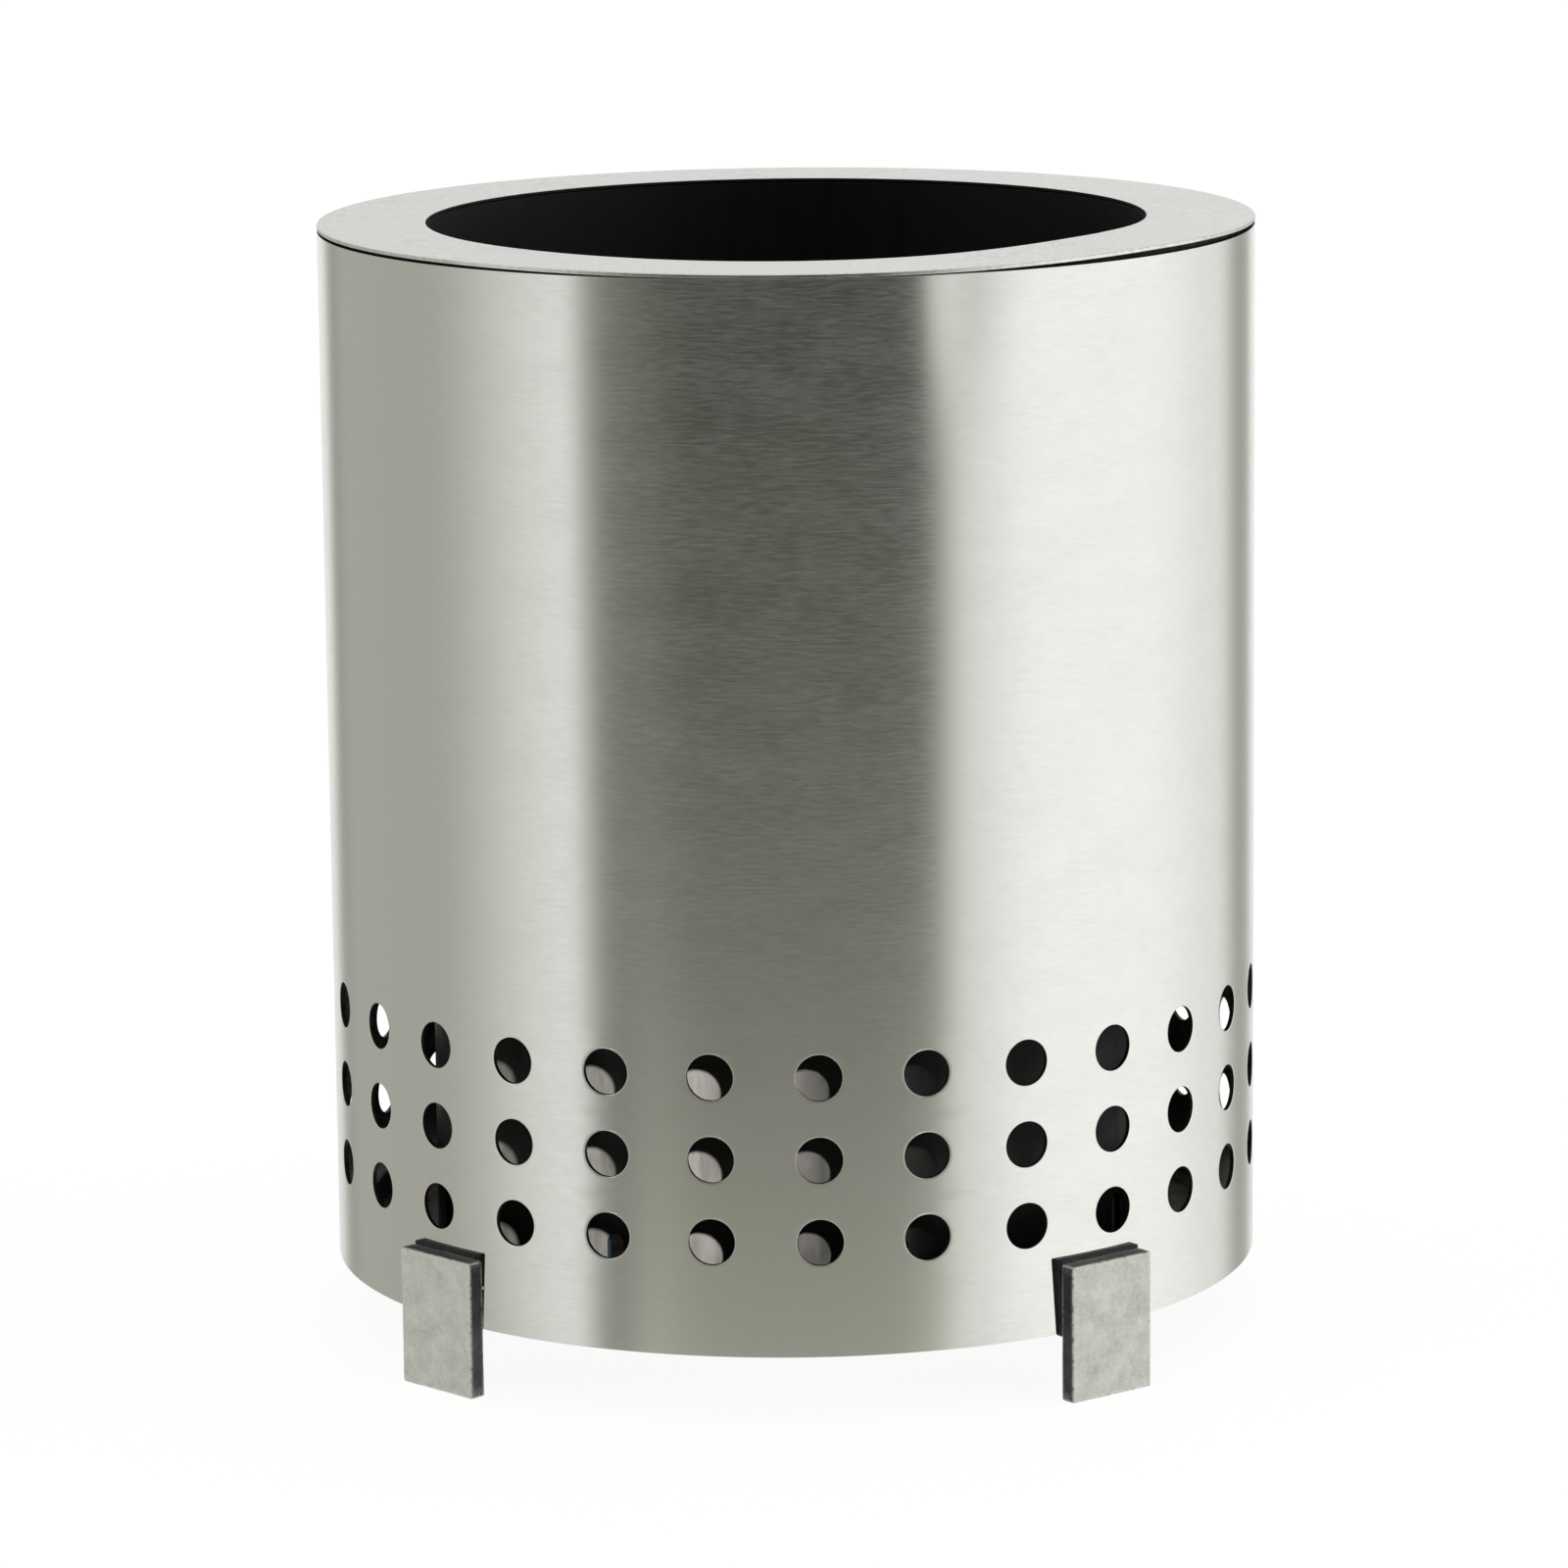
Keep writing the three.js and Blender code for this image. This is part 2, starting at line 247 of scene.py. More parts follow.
def turned_cap(profile, segments, centre):
    """Points and faces of a body of revolution about a line along y through a centre: profile points
    are (radius, y) in millimetres, from the pole at one end to the pole at the other."""
    profile = np.asarray(profile, float)
    angle = (np.arange(segments) / segments * TAU)[:, None]
    a, b = profile[None, :, 0] * np.cos(angle), profile[None, :, 0] * np.sin(angle)
    c = np.broadcast_to(profile[None, :, 1], a.shape)
    points = np.stack([a, c, b], -1) + np.asarray(centre, float)
    return points * MM, grid_faces(segments, len(profile), True, False)


def rounded_slab(outline, depth, edge, margin=0.4, rings=5):
    """A plate between depth[0] and depth[1]: the outline carried along a section that runs from the
    middle of one face, out to its edge, round a curve of radius edge, and back to the other's middle.
    A further ring lies a margin away from each arris."""
    outline = np.asarray(outline, float)
    centre = outline.mean(0)
    reach = np.abs(outline - centre).max(0)
    turn_in = np.linspace(0, math.pi / 2, rings)
    inset = edge * (1 - np.sin(turn_in))
    sink = edge * (1 - np.cos(turn_in))
    faces_in = np.linspace(0, 1, 6)[:-1]
    low, high = depth
    back = edge + margin
    section = [(s, back, low) for s in faces_in] + [(1, back, low)]
    section += [(1, i, low + d) for i, d in zip(inset, sink)] + [(1, 0, low + back)]
    section += [(1, 0, high - back)] + [(1, i, high - d) for i, d in zip(inset[::-1], sink[::-1])]
    section += [(1, back, high)] + [(s, back, high) for s in faces_in[::-1]]
    layers = []
    for share, cut, level in section:
        flat = centre + (outline - centre) * (1 - cut / reach) * share
        layers.append(np.column_stack([flat, np.full(len(outline), level)]))
    return np.stack(layers), grid_faces(len(section), len(outline), False, True)


def rounded_rectangle(width, low, high, corner, steps=5, along=8):
    """The outline of a rectangle about x = 0 with softened corners, in even steps along each side."""
    half = width / 2
    corners = rounded([(-half, low), (half, low), (half, high), (-half, high)], corner, steps)
    loops = []
    for i in range(4):
        arc = corners[i * steps:(i + 1) * steps]
        nxt = corners[((i + 1) * steps) % len(corners)]
        line = arc[-1] + (nxt - arc[-1]) * (np.arange(1, along) / along)[:, None]
        loops += [arc, line]
    return np.concatenate(loops)


def bump_noise(points, wave, seed):
    """Smooth deterministic unevenness between about -1 and 1: a sum of five plane waves in set
    directions, with wavelengths round the given one in millimetres."""
    total = np.zeros(points.shape[:-1])
    for k in range(5):
        a = seed * 1.7 + k * 2.4
        way = np.array([math.sin(a), math.cos(a * 1.3), math.sin(a * 0.7 + 1)])
        way = way / np.linalg.norm(way) * TAU / (wave * MM * (0.7 + 0.16 * k))
        total += np.sin(points @ way + a * 3)
    return total / 3


# ---------------- materials

def linear(code):
    """An sRGB hex colour as linear red, green, blue and an alpha of 1."""
    values = [int(code[i:i + 2], 16) / 255 for i in (1, 3, 5)]
    return (*(v / 12.92 if v <= 0.04045 else ((v + 0.055) / 1.055) ** 2.4 for v in values), 1)


def add(tree, kind, settings=None, **sockets):
    """Adds a node: settings are its properties, and sockets its inputs by name or as in0, in1..., each
    a value or another node's output to link."""
    node = tree.nodes.new("ShaderNode" + kind)
    for key, value in (settings or {}).items():
        setattr(node, key, value)
    for key, value in sockets.items():
        if key[:2] == "in" and key[2:].isdigit():
            socket = node.inputs[int(key[2:])]
        else:
            socket = node.inputs[key.replace("_", " ")]
        if isinstance(value, bpy.types.NodeSocket):
            tree.links.new(value, socket)
        else:
            socket.default_value = value
    return node


def new_material(name, **shader):
    """A material with a Principled shader whose even values are set on its own sockets."""
    material = bpy.data.materials.new(name)
    material.use_nodes = True
    tree = material.node_tree
    tree.nodes.clear()
    surface = add(tree, "BsdfPrincipled", **shader)
    add(tree, "OutputMaterial", Surface=surface.outputs[0])
    return material, tree, surface


def ramp(tree, value, stops):
    """A colour ramp over value, from (position, hex colour) stops."""
    node = add(tree, "ValToRGB", Fac=value)
    elements = node.color_ramp.elements
    while len(elements) < len(stops):
        elements.new(0.5)
    for element, (position, code) in zip(elements, stops):
        element.position = position
        element.color = linear(code)
    return node.outputs["Color"]


def stretched_noise(tree, vector, periods, detail=2.0, roughness=0.5):
    """Noise whose grains are periods millimetres long along each coordinate."""
    scale = tuple(1 / (p * MM) for p in periods)
    grain = add(tree, "Mapping", Vector=vector, Scale=scale)
    return add(tree, "TexNoise", Vector=grain.outputs[0], Scale=1.0, Detail=detail,
               Roughness=roughness).outputs["Fac"]


def between(tree, value, low, high, to_low, to_high, smooth=False):
    """value carried from one range to another, held at the ends."""
    kind = "SMOOTHSTEP" if smooth else "LINEAR"
    return add(tree, "MapRange", {"interpolation_type": kind}, Value=value, From_Min=low, From_Max=high,
               To_Min=to_low, To_Max=to_high).outputs["Result"]


def compute(tree, operation, a, b=0.0, c=0.0):
    """The result of one operation of arithmetic on values or other nodes' outputs."""
    return add(tree, "Math", {"operation": operation}, in0=a, in1=b, in2=c).outputs[0]


def roughen(tree, surface, height, strength, depth):
    """Gives a surface the unevenness of a height, which is depth millimetres deep at full strength."""
    bump = add(tree, "Bump", Strength=strength, Distance=depth * MM, Height=height)
    tree.links.new(bump.outputs[0], surface.inputs["Normal"])


def brushed_stainless():
    """Brushed 304 stainless: a belt has drawn fine scratches round the sheet, so reflections stay sharp
    round the jacket and smear up and down. Where scratches are deep, they hold a trace of dull debris
    that shows only in dark reflections, and they feather the edges of bright ones."""
    material, tree, surface = new_material("brushed_stainless", Anisotropic=0.92,
                                           Anisotropic_Rotation=0.25)
    sheet = add(tree, "UVMap", {"uv_map": "around"}).outputs[0]
    short = stretched_noise(tree, sheet, (4.2, 0.56, 1), 2.0, 0.55)
    hair = stretched_noise(tree, sheet, (10, 0.4, 1), 2.0, 0.6)
    clouds = stretched_noise(tree, sheet, (24, 9, 1), 3.0, 0.55)
    scratches = compute(tree, "MULTIPLY_ADD", short, 0.5, compute(tree, "MULTIPLY", hair, 0.25))
    scratches = compute(tree, "MULTIPLY_ADD", clouds, 0.25, scratches)
    tree.links.new(ramp(tree, scratches, [(0.36, "#cfcfca"), (0.5, "#cdcdc8"), (0.64, "#cacac5")]),
                   surface.inputs["Base Color"])
    tree.links.new(between(tree, scratches, 0.43, 0.64, 1.0, 0.905), surface.inputs["Metallic"])
    tree.links.new(between(tree, scratches, 0.36, 0.64, 0.28, 0.33), surface.inputs["Roughness"])
    roughen(tree, surface, short, 0.3, 0.03)
    along = add(tree, "Tangent", {"direction_type": "UV_MAP", "uv_map": "around"})
    tree.links.new(along.outputs[0], surface.inputs["Tangent"])
    return material


def satin_stainless():
    """Satin stainless plate, ground in no one direction: pale and even, with faint handling smudges."""
    material, tree, surface = new_material("satin_stainless", Metallic=1.0)
    place_of = add(tree, "TexCoord").outputs["Object"]
    grit = stretched_noise(tree, place_of, (1.2, 1.2, 1.2), 2.0)
    smudges = stretched_noise(tree, place_of, (18, 18, 18), 4.0, 0.62)
    tone = compute(tree, "MULTIPLY_ADD", grit, 0.4, compute(tree, "MULTIPLY", smudges, 0.6))
    steel = ramp(tree, tone, [(0.36, "#b2b3ae"), (0.46, "#c8c8c5"), (0.56, "#d2d2d1"), (0.7, "#dadad9")])
    tree.links.new(steel, surface.inputs["Base Color"])
    tree.links.new(between(tree, smudges, 0.35, 0.65, 0.34, 0.46), surface.inputs["Roughness"])
    roughen(tree, surface, grit, 0.3, 0.02)
    return material


def shaded_mill_skin():
    """The jacket's unpolished back and its vents' walls: dull 2B sheet, greyed brown by heat and soot, and
    painted darker still as the shade in the gap behind the vents.
    """
    material, tree, surface = new_material("shade_darkened_mill_finish", Metallic=0.7)
    place_of = add(tree, "TexCoord").outputs["Object"]
    soot = stretched_noise(tree, place_of, (14, 14, 9), 4.0, 0.6)
    grain = stretched_noise(tree, place_of, (0.8, 0.8, 0.8), 2.0)
    # painted shade: these colours are kept near black for the shaded gap behind the vents and the vents'
    # walls
    tree.links.new(ramp(tree, soot, [(0.32, "#151311"), (0.52, "#2a2522"), (0.72, "#4a433c")]),
                   surface.inputs["Base Color"])
    tree.links.new(between(tree, soot, 0.3, 0.7, 0.6, 0.4), surface.inputs["Roughness"])
    roughen(tree, surface, grain, 0.3, 0.04)
    return material


def black_coating():
    """Baked black stove coating under soot: swallows nearly all light, with faint upright runs."""
    material, tree, surface = new_material("black_stove_coating", Metallic=0.0, IOR=1.45)
    surface.inputs["Specular IOR Level"].default_value = 0.25
    place_of = add(tree, "TexCoord").outputs["Object"]
    runs = stretched_noise(tree, place_of, (3, 3, 40), 3.0, 0.6)
    grain = stretched_noise(tree, place_of, (0.6, 0.6, 0.6), 2.0)
    tree.links.new(ramp(tree, runs, [(0.35, "#060a0d"), (0.6, "#0b1013"), (0.75, "#14191b")]),
                   surface.inputs["Base Color"])
    tree.links.new(between(tree, runs, 0.3, 0.7, 0.5, 0.75), surface.inputs["Roughness"])
    roughen(tree, surface, grain, 0.4, 0.08)
    return material


def shaded_tube_steel():
    """Bare rolled steel, oxidised by fire: dull, with staining that runs upright, and painted a warm dark
    grey as the shade in the gap behind the vents.
    """
    material, tree, surface = new_material("shade_darkened_rolled_steel", Metallic=0.25)
    place_of = add(tree, "TexCoord").outputs["Object"]
    stain = stretched_noise(tree, place_of, (9, 9, 30), 4.0, 0.65)
    grain = stretched_noise(tree, place_of, (0.8, 0.8, 2.5), 2.0)
    # painted shade: the bare steel's colours are kept dark for the shaded gap behind the vents
    tree.links.new(ramp(tree, stain, [(0.32, "#181715"), (0.5, "#272624"), (0.66, "#33312f")]),
                   surface.inputs["Base Color"])
    tree.links.new(between(tree, stain, 0.3, 0.7, 0.5, 0.36), surface.inputs["Roughness"])
    roughen(tree, surface, grain, 0.35, 0.04)
    return material


def zinc_bar():
    """Hot-dipped flat bar: a dull, mottled pale grey zinc skin, with a painted highlight along its arrises
    that the pits break up like wear.
    """
    material, tree, surface = new_material("galvanised_flat_bar", Metallic=0.2)
    place_of = add(tree, "TexCoord").outputs["Object"]
    mottle = stretched_noise(tree, place_of, (5, 5, 5), 4.0, 0.65)
    pits = stretched_noise(tree, place_of, (0.9, 0.9, 0.9), 3.0, 0.6)
    tone = compute(tree, "MULTIPLY_ADD", pits, 0.35, compute(tree, "MULTIPLY", mottle, 0.65))
    wear_and_highlight = add(tree, "Attribute", {"attribute_name": "wear_and_highlight"}).outputs["Fac"]
    sheared = add(tree, "Attribute", {"attribute_name": "sheared"}).outputs["Fac"]
    skin = ramp(tree, tone, [(0.34, "#b4b4ab"), (0.5, "#c6c6bd"), (0.64, "#d2d2ca")])
    scale = ramp(tree, tone, [(0.34, "#141719"), (0.5, "#1e2325"), (0.64, "#303533")])
    # painted highlight: the arrises are mixed towards pale grey, broken up by the pits like wear
    wear_and_highlight = compute(tree, "MULTIPLY", wear_and_highlight, between(tree, pits, 0.38, 0.5, 0.25, 1.0))
    body = add(tree, "Mix", {"data_type": "RGBA"}, in0=sheared, in6=skin, in7=scale)
    colour = add(tree, "Mix", {"data_type": "RGBA"}, in0=wear_and_highlight, in6=body.outputs[2], in7=linear("#e2e2de"))
    tree.links.new(colour.outputs[2], surface.inputs["Base Color"])
    tree.links.new(between(tree, tone, 0.3, 0.7, 0.62, 0.46), surface.inputs["Roughness"])
    height = compute(tree, "MULTIPLY_ADD", pits, 0.4, mottle)
    roughen(tree, surface, height, 0.5, 0.15)
    return material


def scaled_steel():
    """Hot-rolled steel with its mill scale: blue-black, uneven and a little glossy."""
    material, tree, surface = new_material("mill_scale_steel", Metallic=0.55)
    place_of = add(tree, "TexCoord").outputs["Object"]
    scale = stretched_noise(tree, place_of, (3, 3, 3), 4.0, 0.6)
    tree.links.new(ramp(tree, scale, [(0.35, "#0f1112"), (0.55, "#1d2121"), (0.75, "#363936")]),
                   surface.inputs["Base Color"])
    tree.links.new(between(tree, scale, 0.3, 0.7, 0.42, 0.62), surface.inputs["Roughness"])
    roughen(tree, surface, scale, 0.5, 0.1)
    return material


def zinc_screw():
    """Bright zinc plating over turned steel: pale and slightly blue, with fine grain."""
    material, tree, surface = new_material("zinc_plated_steel", Metallic=1.0)
    place_of = add(tree, "TexCoord").outputs["Object"]
    grain = stretched_noise(tree, place_of, (0.7, 0.7, 0.7), 3.0)
    tree.links.new(ramp(tree, grain, [(0.35, "#a9adb0"), (0.65, "#cfd2d4")]), surface.inputs["Base Color"])
    tree.links.new(between(tree, grain, 0.3, 0.7, 0.28, 0.42), surface.inputs["Roughness"])
    return material


def fired_steel(name, warm, cold):
    """Bare steel that has been in the fire: grey, with brown heat tint and pale ash dust over it."""
    material, tree, surface = new_material(name, Metallic=0.8)
    place_of = add(tree, "TexCoord").outputs["Object"]
    tint = stretched_noise(tree, place_of, (16, 16, 16), 4.0, 0.6)
    dust = stretched_noise(tree, place_of, (1.2, 1.2, 1.2), 3.0, 0.7)
    metal = ramp(tree, tint, [(0.36, warm), (0.52, cold), (0.68, "#9b978f")])
    cover = between(tree, dust, 0.5, 0.72, 0.0, 0.55)
    colour = add(tree, "Mix", {"data_type": "RGBA"}, in0=cover, in6=metal, in7=linear("#8c8984"))
    tree.links.new(colour.outputs[2], surface.inputs["Base Color"])
    tree.links.new(between(tree, dust, 0.35, 0.7, 0.42, 0.75), surface.inputs["Roughness"])
    roughen(tree, surface, dust, 0.4, 0.1)
    return material


# ---------------- finishing a piece

def settle(piece, body, slot, materials, *nodes):
    """Gives a piece its materials and body, and lets it stand for its CAD nodes. Its slot is not used."""
    for material in materials:
        piece.data.materials.append(material)
    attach(piece, body)
    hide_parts(*nodes)
    return piece


def soften(piece, width, segments=2, angle=50, thickness=None):
    """Gives a sheet its wall, then breaks its edges as deburring does, with normals that keep the
    broad faces flat."""
    if thickness is not None:
        wall = piece.modifiers.new("wall", "SOLIDIFY")
        wall.thickness = thickness * MM
        wall.offset = -1
        wall.use_even_offset = True
    edge = piece.modifiers.new("deburr", "BEVEL")
    edge.width = width * MM
    edge.segments = segments
    edge.limit_method = "ANGLE"
    edge.angle_limit = math.radians(angle)
    even = piece.modifiers.new("even", "WEIGHTED_NORMAL")
    even.keep_sharp = True
    return piece


# ---------------- the jacket

def sheet_wave(angle, height):
    """How far the rolled sheet lies inside its true circle, in millimetres: slow waves round it and
    along it, and a soft dent under the rim on the right. It is never outside the circle."""
    wave = np.sin(3 * angle + 0.6) + 0.6 * np.sin(7 * angle + height / 41)
    wave = wave + 0.4 * np.sin(height / 23 + 2 * angle)
    across = (angle - math.radians(DENT_ANGLE)) * SHELL_RADIUS / MM / DENT_WIDTH
    down = (SHELL_HIGH / MM - height) / DENT_HEIGHT
    return 0.03 * (wave / 2 - 1) - DENT_DEPTH * np.exp(-(across**2) - down**2)


def around_vent(left, right, low, high, steps, rings):
    """One vent's cell of the sheet, as (angle, height) points: circle points blended towards the
    matching points of the cell's rectangle, in rings that are closest together at the hole."""
    s = np.arange(steps) / steps
    sides = [
        np.column_stack([left + (right - left) * s, np.full(steps, low)]),
        np.column_stack([np.full(steps, right), low + (high - low) * s]),
        np.column_stack([right - (right - left) * s, np.full(steps, high)]),
        np.column_stack([np.full(steps, left), high - (high - low) * s]),
    ]
    edge = np.concatenate(sides)
    turn_of = (np.arange(4 * steps) / (4 * steps) - 0.375) * TAU
    radius = SHELL_RADIUS / MM
    hole = np.column_stack([
        (left + right) / 2 + VENT_RADIUS * np.cos(turn_of) / radius,
        (low + high) / 2 + VENT_RADIUS * np.sin(turn_of),
    ])
    share = (np.linspace(0, 1, rings) ** 1.6)[:, None, None]
    return hole[None] * (1 - share) + edge[None] * share


def jacket_part(cell, faces):
    """Sheet points for (angle, height) points, with their places on the flattened sheet."""
    radius = SHELL_RADIUS / MM
    angle, height = cell[..., 0], cell[..., 1]
    points = place(radius + sheet_wave(angle, height), angle, height)
    return points, faces, np.stack([angle * radius * MM, height * MM], -1)


def jacket():
    """The rolled sheet: plain bands above and below three rows of round vents, as (angle, height)
    grids bent onto the jacket's circle, with the sheet's thickness inward."""
    steps, rings = 10, 5
    low, high = SHELL_LOW / MM, SHELL_HIGH / MM
    step = TAU / VENT_COLUMNS
    first = low + VENT_FIRST_ROW - VENT_ROW_PITCH / 2
    parts = []
    for row in range(VENT_ROWS):
        bottom = first + row * VENT_ROW_PITCH
        for column in range(VENT_COLUMNS):
            left = -math.pi + column * step
            cell = around_vent(left, left + step, bottom, bottom + VENT_ROW_PITCH, steps, rings)
            parts.append(jacket_part(cell, grid_faces(rings, 4 * steps, False, True)[:, ::-1]))
    top_of_vents = first + VENT_ROWS * VENT_ROW_PITCH
    angle = np.linspace(-math.pi, math.pi, VENT_COLUMNS * steps + 1)
    for start, end, rows in ((low, first, 5), (top_of_vents, high, 30)):
        height = np.linspace(start, end, rows)
        band = np.stack(np.meshgrid(angle, height, indexing="xy"), -1)
        parts.append(jacket_part(band, grid_faces(rows, len(angle))))
    piece = make_mesh("jacket_sheet", *join(parts))
    soften(piece, 0.14, thickness=SHELL_SHEET)
    # The back and the vents' walls take the second material, whose dark colour is painted shade.
    piece.modifiers["wall"].material_offset = 1
    piece.modifiers["wall"].material_offset_rim = 1
    return settle(piece, "jacket", "brushed_shell", [brushed_stainless(), shaded_mill_skin()], "outer_shell")


def foot_plates(material):
    """The feet's outer plates: slabs cut from flat bar with softened arrises and a slightly uneven
    zinc skin, with a painted highlight along the arrises."""
    outline = rounded_rectangle(FOOT_WIDTH - 0.1, 0.0, FOOT_HEIGHT - 0.05, 0.5, 5, 14)
    for number, angle in enumerate(FOOT_ANGLES, 1):
        layers, faces = rounded_slab(outline, (0.05, FOOT_THICKNESS - 0.1), 0.45)
        local = np.stack([layers[..., 0], -(FOOT_BACK + layers[..., 2]), layers[..., 1]], -1) * MM
        local[..., 1] += 0.00005 * bump_noise(local, 11, number)
        piece = make_mesh(f"foot_bar_{number}", turn(local, angle), faces, outward=True)
        mark_edges(piece, angle)
        piece.visible_glossy = False
        settle(piece, "jacket", "foot_steel", [material], f"foot_plate_{number}")


def mark_edges(piece, angle):
    """Stores in each point how near it lies to two of the plate's faces at once, which is 1 on the
    arrises and 0 on the faces and masks the painted highlight there, and whether it lies on a sheared
    side, where the dark scale is left."""
    mesh = piece.data
    points = np.empty(len(mesh.vertices) * 3)
    mesh.vertices.foreach_get("co", points)
    local = turn(points.reshape(-1, 3), -angle) / MM
    across = FOOT_WIDTH / 2 - np.abs(local[:, 0])
    upright = FOOT_HEIGHT / 2 - np.abs(local[:, 2] - FOOT_HEIGHT / 2)
    through = FOOT_THICKNESS / 2 - np.abs(-local[:, 1] - FOOT_BACK - FOOT_THICKNESS / 2)
    near = np.sort(np.stack([across, upright, through]), axis=0)[1]
    # mask of the painted highlight along the arrises, broken up like wear in the material
    wear_and_highlight = np.clip(1 - (near - 0.1) / 0.5, 0, 1)
    sheared = np.clip((0.35 - np.minimum(across, upright)) / 0.2, 0, 1)
    for name, values in (("wear_and_highlight", wear_and_highlight), ("sheared", sheared)):
        mark = mesh.attributes.new(name, "FLOAT", "POINT")
        mark.data.foreach_set("value", values.astype(np.float32))


def foot_spacers(material):
    """The dark packing pieces, of which the front left one is cut short: a closed section, whose back
    follows the jacket's circle and whose front is flat, carried upwards between cropped ends and a
    little wider at the top."""
    edge, low, high, steps = FOOT_WIDTH / 2 - 0.1, SHELL_LOW / MM, SPACER_HIGH, 25
    height = np.array([low, low, low + 0.3, high - 0.3, high, high])[:, None]
    share = np.array([0, 0.9, 1, 1, 0.9, 0])[:, None]
    taper = PACKING_TAPER * (high - height) / (high - low)
    faces = grid_faces(len(height), 2 * steps, False, True)
    for number, angle in enumerate(FOOT_ANGLES, 1):
        right = edge - PACKING_SHORT * (number == len(FOOT_ANGLES))
        x = np.linspace(-edge, right, steps)
        back = np.sqrt((SHELL_RADIUS / MM + 0.12) ** 2 - x**2)
        middle = (back + SPACER_FRONT) / 2
        through = np.concatenate([back, np.full(steps, SPACER_FRONT)])[None]
        centre = np.concatenate([middle, middle[::-1]])[None]
        across = np.concatenate([x, x[::-1]])[None] * (1 - taper / edge) * (0.98 + 0.02 * share)
        out = centre + (through - centre) * share
        local = np.stack([across, -out, np.broadcast_to(height, out.shape)], -1) * MM
        piece = make_mesh(f"foot_packing_{number}", turn(local, angle), faces, outward=True)
        piece.visible_glossy = False
        settle(piece, "jacket", "dark_steel", [material], f"foot_spacer_{number}")


def bent_strip(path, thickness, width, edge=0.3):
    """A strip bent along a path of (distance from axis, height) points: a rounded rectangular section,
    width wide along x, carried along the path and closed at both ends."""
    path = np.asarray(path, float)
    way = np.gradient(path, axis=0)
    way /= np.linalg.norm(way, axis=1, keepdims=True)
    side = np.column_stack([-way[:, 1], way[:, 0]])
    half, deep = width / 2, thickness / 2
    section = rounded([(-half, -deep), (half, -deep), (half, deep), (-half, deep)], edge, 4)
    stations = [0, *range(len(path)), len(path) - 1]
    size = np.array([0.0, *np.ones(len(path)), 0.0])[:, None]
    centre, side = path[stations], side[stations]
    across = section[None, :, 0] * size
    out = centre[:, None, 0] + side[:, None, 0] * section[None, :, 1] * size
    up = centre[:, None, 1] + side[:, None, 1] * section[None, :, 1] * size
    local = np.stack([across, -out, up], -1) * MM
    return local, grid_faces(len(centre), len(section), False, True)


def bend(start, corner, end, radius, steps=8):
    """A path from start to end through a rounded corner, with even points on its straight legs."""
    start, corner, end = (np.asarray(p, float) for p in (start, corner, end))
    a = corner + (start - corner) / np.linalg.norm(start - corner) * radius
    b = corner + (end - corner) / np.linalg.norm(end - corner) * radius
    t = np.linspace(0, 1, steps)[:, None]
    curve = a * (1 - t) ** 2 + corner * 2 * t * (1 - t) + b * t**2
    leg = np.linspace(0, 1, 5)[:-1, None]
    return np.concatenate([start + (a - start) * leg, curve, end + (b - end) * leg[::-1]])


def foot_ledges(material):
    """Angle pieces inside the jacket: a strip that runs down the wall and bends in under the pan."""
    wall, shelf = LEDGE_FACE + 0.9, SHELL_LOW / MM + 2.0
    path = bend((wall, FOOT_HEIGHT - 0.1), (wall, shelf), (LEDGE_FACE - 13, shelf), 2.5)
    for number, angle in enumerate(FOOT_ANGLES, 1):
        local, faces = bent_strip(path, 1.6, FOOT_WIDTH - 0.6, 0.35)
        piece = make_mesh(f"pan_ledge_{number}", turn(local, angle), faces, outward=True)
        settle(piece, "jacket", "dark_steel", [material], f"foot_ledge_{number}")


def foot_screws(material):
    """Pan-head screws with a cross recess: a head profile turned about the screw, whose top sinks
    along two crossing bars, then the shank."""
    segments, recess, crown, head = 48, 1.4, 0.03, LEDGE_FACE - 2.45
    dish = [(0, 0.9), (0.5, 0.9), (1.0, 0.9), (recess, 0.1)]
    dome = [(2.0, crown), (2.8, 0.3), (3.4, 0.9), (3.55, 1.5), (3.5, 2.15)]
    profile = dish + dome + [(2.0, 2.2), (2.0, 8.6), (1.2, 9.3), (0, 9.3)]
    around = np.arange(segments) / segments * TAU
    arm = (np.abs(np.cos(2 * around)) ** 6)[:, None]
    reach = np.asarray(profile)[:, 0]
    for number, angle in enumerate(FOOT_ANGLES, 1):
        for side, label in ((-1, "left"), (1, "right")):
            points, faces = turned_cap(profile, segments, (0, 0, 0))
            depth = points[..., 1] / MM
            inner = ((reach > 0) & (reach <= recess))[None] & (depth < 1.0)
            depth = np.where(inner, depth * arm + (1 - arm) * crown, depth)
            local = np.stack([points[..., 0] + side * SCREW_OFFSET * MM, -(head + depth) * MM,
                              points[..., 2] + SCREW_HIGH * MM], -1)
            piece = make_mesh(f"ledge_screw_{number}_{label}", turn(local, angle), faces, outward=True)
            piece.visible_glossy = False
            settle(piece, "jacket", "screw_zinc", [material], f"foot_screw_{number}_{label}")


# ---------------- the ash pan

